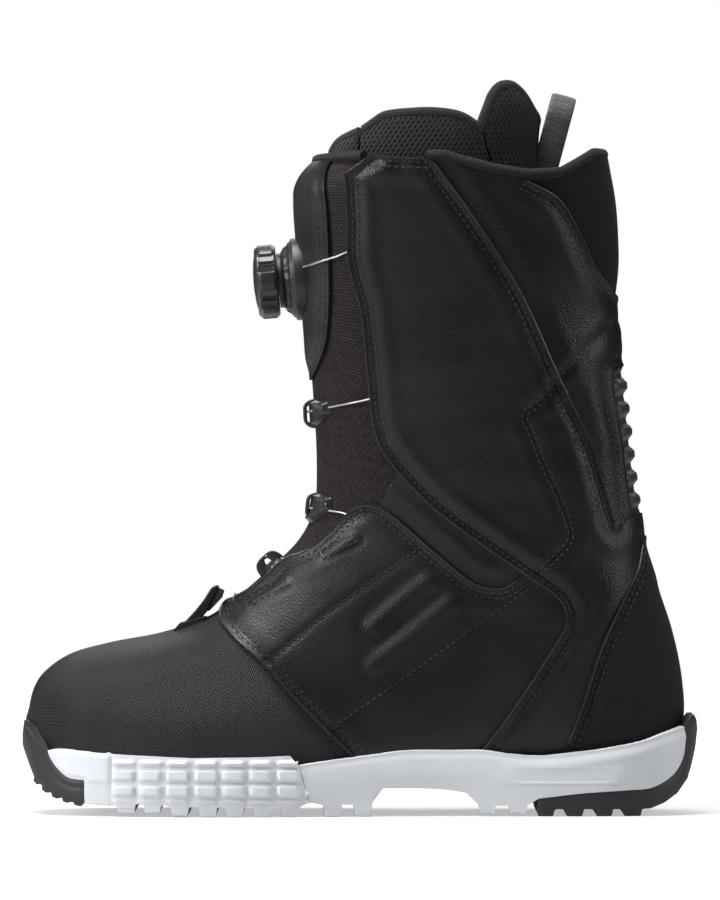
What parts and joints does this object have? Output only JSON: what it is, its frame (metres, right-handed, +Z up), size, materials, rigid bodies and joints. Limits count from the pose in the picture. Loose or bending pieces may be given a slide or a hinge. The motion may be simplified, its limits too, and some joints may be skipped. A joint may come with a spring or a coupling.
{
  "type": "snowboard boot",
  "caption": "Snowboard boot with a hinged padded tongue tightened by a turning lace dial, removable padded liner and lugged two-tone sole.",
  "frame": {"origin": "middle of the bounding box in plan, on the ground under the sole lugs", "axes": "+Z up, -X towards the toe, -Y towards the outer side of the left foot"},
  "size_m": [0.3102, 0.1147, 0.3363],
  "materials": {
    "leather": "semi-gloss grained synthetic leather",
    "toe_leather": "dot-embossed toe cap, satin",
    "fabric": "fine ribbed polyester",
    "spacer_mesh": "spacer mesh",
    "foam": "textile over foam",
    "webbing": "woven webbing",
    "white_eva": "white moulded midsole, satin",
    "rubber": "matte moulded rubber",
    "plastic": "glass-filled nylon, satin",
    "board": "fibre board",
    "gel": "soft gel",
    "steel": "stranded steel"
  },
  "bodies": {
    "boot": {"vamp_saddle_outer": "leather", "vamp_saddle_inner": "leather", "ankle_underlay_outer": "leather", "ankle_underlay_inner": "leather", "quarter_outer": "leather", "quarter_inner": "leather", "rear_quarter_outer": "leather", "rear_quarter_inner": "leather", "heel_counter": "leather", "toe_cap": "toe_leather", "collar_binding": "fabric", "rear_collar_mesh": "spacer_mesh", "liner_cuff": "spacer_mesh", "liner_vamp": "spacer_mesh", "liner_rear_collar": "spacer_mesh", "footbed": "foam", "outsole_forefoot": "white_eva", "midsole": "white_eva", "outsole_toe_rubber": "rubber", "outsole_heel_rubber": "rubber", "flex_insert": "rubber", "heel_stiffener": "plastic", "lasting_board": "board", "heel_shock_pad": "gel"},
    "tongue": {"shell_tongue": "fabric", "tongue_power_panel": "leather", "tongue_binding": "fabric", "lace_guide_upper": "plastic", "lace_guide_middle": "plastic", "lace_guide_lower": "plastic", "lace_cable": "steel", "dial_base": "plastic", "dial_screw": "steel"},
    "liner_flap": {"liner_tongue": "spacer_mesh"},
    "dial_drive": {"dial_drive_disc": "plastic", "dial_spool": "plastic"},
    "dial_grip": {"dial_knob": "plastic", "dial_cap": "plastic"},
    "pull_loop": {"liner_pull_loop": "webbing"},
    "toe_pull": {"toe_tab": "leather"}
  },
  "joints": [
    {"name": "tongue_tilt", "type": "hinge", "parent": "boot", "child": "tongue", "pos_m": [-0.06, 0, 0.1012], "axis": [0, -1, 0], "range_deg": [0, 14], "deforming": ["lace_cable"]},
    {"name": "liner_tongue_tilt", "type": "hinge", "parent": "boot", "child": "liner_flap", "pos_m": [-0.06, 0, 0.1012], "axis": [0, -1, 0], "range_deg": [0, 11.2]},
    {"name": "dial_turn", "type": "hinge", "parent": "tongue", "child": "dial_drive", "pos_m": [-0.029, 0, 0.246], "axis": [-0.9962, 0, -0.0872], "continuous": true},
    {"name": "dial_pull", "type": "slide", "parent": "dial_drive", "child": "dial_grip", "axis": [-0.9962, 0, -0.0872], "range_m": [0, 0.0025]},
    {"name": "pull_loop_swing", "type": "hinge", "parent": "boot", "child": "pull_loop", "pos_m": [0.089, 0, 0.2955], "axis": [0, 1, 0], "range_deg": [0, 35], "stiffness_Nm_per_rad": 0.02},
    {"name": "toe_tab_lift", "type": "hinge", "parent": "boot", "child": "toe_pull", "pos_m": [-0.0845, 0, 0.086], "axis": [0, -1, 0], "range_deg": [0, 50], "stiffness_Nm_per_rad": 0.02}
  ],
  "couplings": [
    {"joint": "liner_tongue_tilt", "follows": "tongue_tilt", "ratio": 0.8}
  ]
}
